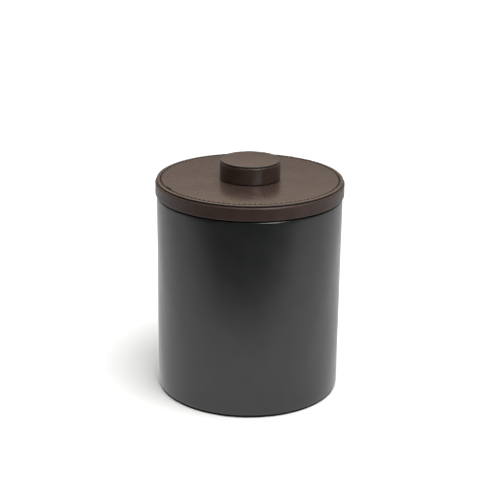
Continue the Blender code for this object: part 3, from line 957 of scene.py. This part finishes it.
liner_outline = rounded([
    (0.0, cup_low),
    (cup_outer, cup_low, 0.0060),
    (cup_outer, rim_high - RIM, 0.0016),
    (rim_radius, rim_high - RIM, 0.00045),
    (rim_radius, rim_high, 0.00045),
    (cup_inner, rim_high, 0.0024),
    (cup_inner, cup_low + STEEL, 0.0052),
    (0.0, cup_low + STEEL),
], spacing=0.004)
liner = turn("steel_liner", liner_outline, even_angles(240), liner_relief)
finish_piece(liner, [spun_steel], "liner", ["liner_cup"])

# %% [markdown]
# ## Under the lid
# A hollow moulded plug centres the lid in the liner's mouth, a silicone ring in its groove closes the
# gap, and four countersunk screws hold it to the lid's board through the lining. The plug and lining
# are turned, and the screw holes are cut with Boolean differences, as a drill would.

# %% Cutting screw holes
SCREW_CIRCLE = 0.050
SCREW_HEAD = 0.0034
SCREW_SHANK = 0.0016
PLAY = 0.0003
screw_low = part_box("plug_screw_1")[0].z
screw_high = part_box("plug_screw_1")[1].z


def cut_away(piece, tools, crossing=False):
    """Take other pieces out of this one, as a drill or a mill does."""
    for tool in tools:
        cut = piece.modifiers.new("cut", "BOOLEAN")
        cut.operation = "DIFFERENCE"
        cut.solver = "EXACT"
        cut.use_self = crossing
        cut.object = tool
    keep_result(piece)
    for tool in tools:
        bpy.data.objects.remove(tool)
    piece.data.set_sharp_from_angle(angle=math.radians(35.0))


def cut_screw_holes(piece, outline):
    """Take four turned drills out of a piece."""
    drills = [turn("drill", outline, even_angles(28)) for _ in range(4)]
    for quarter, drill in enumerate(drills):
        turn_by = math.radians(45.0 + 90.0 * quarter)
        drill.location = (SCREW_CIRCLE * math.cos(turn_by), SCREW_CIRCLE * math.sin(turn_by), 0.0)
    cut_away(piece, drills)


print("screws run from", round(screw_low, 4), "to", round(screw_high, 4))

# %% Plug, lining and seal
PLUG_WALL = 0.0040
PLUG_FLOOR = 0.0020
SEAL_DEPTH = 0.0018
SEAL_WIDTH = 0.0026
BEYOND = 0.002
plug_radius, plug_low, plug_high = radius_and_heights("plug_shell")
seal_radius, seal_low, seal_high = radius_and_heights("plug_seal")
groove_floor = plug_radius - SEAL_DEPTH
plug_outline = rounded([
    (0.0, plug_low),
    (plug_radius, plug_low, 0.0012),
    (plug_radius, seal_low - PLAY, 0.0002),
    (groove_floor, seal_low - PLAY),
    (groove_floor, seal_high + PLAY),
    (plug_radius, seal_high + PLAY, 0.0002),
    (plug_radius, plug_high, 0.0002),
    (plug_radius - PLUG_WALL, plug_high),
    (plug_radius - PLUG_WALL, plug_low + PLUG_FLOOR),
    (0.0, plug_low + PLUG_FLOOR),
], spacing=0.006)
plug = turn("plug_moulding", plug_outline, even_angles(180))
head, shank, sunk = SCREW_HEAD + PLAY, SCREW_SHANK + PLAY, plug_low + 0.0002
countersink = [(0.0, plug_low - BEYOND), (SCREW_HEAD + 2 * PLAY, plug_low - BEYOND),
               (SCREW_HEAD + 2 * PLAY, plug_low), (head, sunk), (shank, sunk + head - shank),
               (shank, plug_high + 0.003), (0.0, plug_high + 0.003)]
cut_screw_holes(plug, np.array(countersink))
finish_piece(plug, [black_abs], "lid", ["plug_shell"])

lining_radius, lining_low, lining_high = radius_and_heights("lid_lining")
lining_outline = disc_section(lining_radius, lining_low, lining_high, 0.0004, 0.0, 0.006)
lining = turn("lid_underside_lining", lining_outline, even_angles(160))
through = [(0.0, lining_low - BEYOND), (shank, lining_low - BEYOND),
           (shank, lining_high + BEYOND), (0.0, lining_high + BEYOND)]
cut_screw_holes(lining, np.array(through))
finish_piece(lining, [microsuede], "lid", ["lid_lining"])

seal_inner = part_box("plug_seal")[1].x - SEAL_WIDTH
seal_middle = (seal_low + seal_high) / 2
seal_outline = rounded([
    (seal_inner, seal_low, 0.0001),
    (seal_radius - 0.0009, seal_low, 0.0006),
    (seal_radius, seal_middle - 0.0002, 0.0003),
    (seal_radius, seal_middle + 0.0002, 0.0003),
    (seal_radius - 0.0009, seal_high, 0.0006),
    (seal_inner, seal_high, 0.0001),
], spacing=0.0006)
seal = turn("plug_seal_ring", seal_outline, even_angles(240))
finish_piece(seal, [silicone], "lid", ["plug_seal"])

# %% [markdown]
# ## The four screws
# One countersunk screw with a cross recess is turned and cut, then Geometry Nodes puts it on the four
# bosses, each stopped at its own angle, as a hand leaves them.

# %% One screw
BLADE = (0.0036, 0.00075, 0.0026, 1.0)
BLADE_TAPER = 0.35
cone_low = screw_low + 0.0003
screw_outline = rounded([
    (0.0, screw_low),
    (SCREW_HEAD, screw_low, 0.0002),
    (SCREW_HEAD, cone_low),
    (SCREW_SHANK, cone_low + SCREW_HEAD - SCREW_SHANK),
    (SCREW_SHANK, screw_high - 0.0020),
    (0.0, screw_high),
], spacing=0.003)
screw = turn("one_screw", screw_outline, even_angles(32))
blades = bmesh.new()
for quarter in (0.0, math.pi / 2):
    corners = bmesh.ops.create_cube(blades, size=1.0)["verts"]
    place = Matrix.Translation((0.0, 0.0, screw_low)) @ Matrix.Rotation(quarter, 4, "Z")
    bmesh.ops.transform(blades, verts=corners, matrix=place @ Matrix.Diagonal(BLADE))
    for vertex in corners:
        if vertex.co.z > screw_low:
            vertex.co.x *= BLADE_TAPER
            vertex.co.y *= BLADE_TAPER
recess = bpy.data.meshes.new("recess")
blades.to_mesh(recess)
blades.free()
cut_away(screw, [add_object("recess", recess)], crossing=True)
print("one screw has", len(screw.data.polygons), "faces")

# %% Four screws on the plug
screw_tree, fixing = geometry_tree("screws_on_a_circle", [
    ("Screw", "NodeSocketObject"), ("Circle Radius", FLOAT), ("Screws", WHOLE), ("Seed", WHOLE),
    ("Material", "NodeSocketMaterial"),
])
ring = add_node(screw_tree, "GeometryNodeMeshCircle", None,
                {"Vertices": fixing["Screws"], "Radius": fixing["Circle Radius"]})
shape = add_node(screw_tree, "GeometryNodeObjectInfo", None, {"Object": fixing["Screw"]})
stopped = add_node(screw_tree, "FunctionNodeRandomValue", {"data_type": "FLOAT"},
                   {2: 0.0, 3: math.pi / 2, "Seed": fixing["Seed"]})
driven = add_node(screw_tree, "GeometryNodeInstanceOnPoints", None,
                  {"Points": ring.outputs["Mesh"], "Instance": shape.outputs["Geometry"],
                   "Rotation": combined(screw_tree, Z=stopped.outputs[1])})
eighth = moved(screw_tree, driven.outputs["Instances"], Rotation=(0.0, 0.0, math.pi / 4))
close_tree(screw_tree, eighth, fixing["Material"])
screws = grow("plug_screws", screw_tree, {
    "Screw": screw,
    "Circle Radius": SCREW_CIRCLE,
    "Screws": 4,
    "Seed": 3,
    "Material": plated_steel,
})
screws.data.set_sharp_from_angle(angle=math.radians(35.0))
bpy.data.objects.remove(screw)
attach(screws, "lid")
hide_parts("plug_screw_1", "plug_screw_2", "plug_screw_3", "plug_screw_4")
print("four screws have", len(screws.data.polygons), "faces")

# %% [markdown]
# ## What stays hidden
# Cards, boards, foam and the knob's fixings can't be seen once the bucket is made. Their CAD meshes are
# good enough as they are, so they only get the right materials.

# %% Materials for the hidden nodes
hidden = {
    "base_card": card, "lid_card": card, "knob_lower_card": card, "knob_upper_card": card,
    "base_board": board, "body_core": board, "lid_core": board,
    "insulation_floor": foam, "insulation_sleeve": foam, "plug_insulation": foam,
    "knob_core": beech_wood, "knob_insert": turned_brass,
    "knob_washer": plated_steel, "knob_screw": plated_steel,
}
for node, material in hidden.items():
    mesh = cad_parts[node].data
    mesh.materials.clear()
    mesh.materials.append(material)
print("gave materials to", len(hidden), "hidden nodes")

# %% [markdown]
# ## The studio
# The bucket stands on a white table that is lit until it is pure white. Polished leather is a dull
# mirror, so what shows its shape is what stands round it: a bright table top that ends a little way in
# front, a dim room behind the camera, a warm panel behind the bucket and a softbox at the right. The
# camera wants an endless table and the leather a short one, so the table in its reflections is a glowing
# card of its own that only they see. It is no lamp: its glow is painted light, a pool of light round the
# bucket, a painted shadow behind it and painted darkness past its front edge. The lamps are split too:
# some only light things, some only show in them.

# %% Table
REACH = 20.0
POOL_CENTRE = (0.05, -0.2, 0.0)
POOL_BRIGHTNESS = 1.45
SHADE_CENTRE = (0.0, 0.15, 0.0)
FRONT_EDGE = -0.365
FRONT_SLANT = 0.10
FRONT_BLUR = 0.04


def flat_sheet(name, height, material):
    """A wide flat sheet that belongs to the studio and not to the bucket."""
    mesh = bpy.data.meshes.new(name)
    corners = [(x * REACH, y * REACH, height) for x, y in ((-1, -1), (1, -1), (1, 1), (-1, 1))]
    mesh.from_pydata(corners, [], [(0, 1, 2, 3)])
    mesh.materials.append(material)
    item = add_object(name, mesh)
    return item


def distance_to(tree, place, centre):
    """How far a point is from a centre."""
    away = add_node(tree, "ShaderNodeVectorMath", {"operation": "DISTANCE"}, {0: place, 1: centre})
    return away.outputs["Value"]


table_material, tree, shader, place = start_material("pale laminate table")
mottle = mixed_colour(tree, speckle(tree, place, 0.15), linear("#babab9"), linear("#c0c0bf"))
fill(tree, shader, {"Base Color": mottle, "Roughness": 0.9, "Specular IOR Level": 0.0})
table = flat_sheet("table", 0.0, table_material)
table.visible_glossy = False

# Painted light: this card is no lamp, yet it glows. Its glow paints a pool of light round the bucket, a
# painted shadow behind it and painted darkness past the front edge, and only reflections see it.
pool_material = bpy.data.materials.new("pool of light")
pool_material.use_nodes = True
tree = pool_material.node_tree
tree.nodes.clear()
place = add_node(tree, "ShaderNodeTexCoord").outputs["Object"]
parts = parts_of(tree, place)
pool = spread(tree, distance_to(tree, place, POOL_CENTRE), POOL_BRIGHTNESS, 0.5 * POOL_BRIGHTNESS, 0.20, 0.95)
# Painted shadow of the bucket on the glowing card, behind it.
painted_shade = spread(tree, distance_to(tree, place, SHADE_CENTRE), 0.70, 1.0, 0.17, 0.29)
front = calculate(tree, "MULTIPLY_ADD", parts["X"], FRONT_SLANT, parts["Y"])
lit = spread(tree, front, 0.08, 1.0, FRONT_EDGE - FRONT_BLUR, FRONT_EDGE + FRONT_BLUR)
strength = calculate(tree, "MULTIPLY", calculate(tree, "MULTIPLY", pool, painted_shade), lit)
glow = add_node(tree, "ShaderNodeEmission", None, {"Strength": strength})
add_node(tree, "ShaderNodeOutputMaterial", None, {"Surface": glow.outputs[0]})
glowing_card = flat_sheet("reflected table top", -0.001, pool_material)
glowing_card.visible_camera = False
glowing_card.visible_diffuse = False
glowing_card.visible_shadow = False
print("table ready")

# %% Lights
MIDDLE = (0.0, 0.0, 0.12)
OVERHEAD = (0.45, -0.6, 2.05)
WHITE = "#ffffff"
WARM_WHITE = "#ffe6cc"
LIGHTS, SHOWS = (True, False), (False, True)


def softbox(name, place, target, width, height, power, colour, seen_by):
    """A rectangular softbox that faces a point; it either lights things or shows in them."""
    light = bpy.data.lights.new(name, "AREA")
    light.shape = "RECTANGLE"
    light.size = width
    light.size_y = height
    light.energy = power
    light.color = linear(colour)[:3]
    item = add_object(name, light)
    item.location = place
    item.rotation_euler = (Vector(target) - Vector(place)).to_track_quat("-Z", "Y").to_euler()
    item.visible_camera = False
    item.visible_diffuse, item.visible_glossy = seen_by


softbox("overhead", OVERHEAD, MIDDLE, 1.4, 1.4, 84.0, WHITE, LIGHTS)
softbox("overhead reflection", OVERHEAD, MIDDLE, 1.4, 1.4, 165.0, WHITE, SHOWS)
softbox("ceiling", (0.0, 0.5, 3.2), (0.0, 0.5, 0.0), 5.0, 5.0, 140.0, WHITE, LIGHTS)
softbox("far table", (0.0, 2.4, 1.9), (0.0, 2.4, 0.0), 4.0, 1.6, 80.0, WHITE, LIGHTS)
softbox("rear panel", (0.0, 0.863, 1.053), (0.0, 0.0, 0.22), 2.4, 1.0, 15.0, WARM_WHITE, SHOWS)
softbox("key", (0.643, -1.21, 0.73), MIDDLE, 0.3, 0.45, 16.0, WHITE, SHOWS)

world = bpy.data.worlds.new("dim room")
world.use_nodes = True
room = world.node_tree.nodes["Background"]
fill(world.node_tree, room, {"Color": (0.15, 0.15, 0.15, 1.0), "Strength": 1.0})
bpy.context.scene.world = world
print("lights ready")
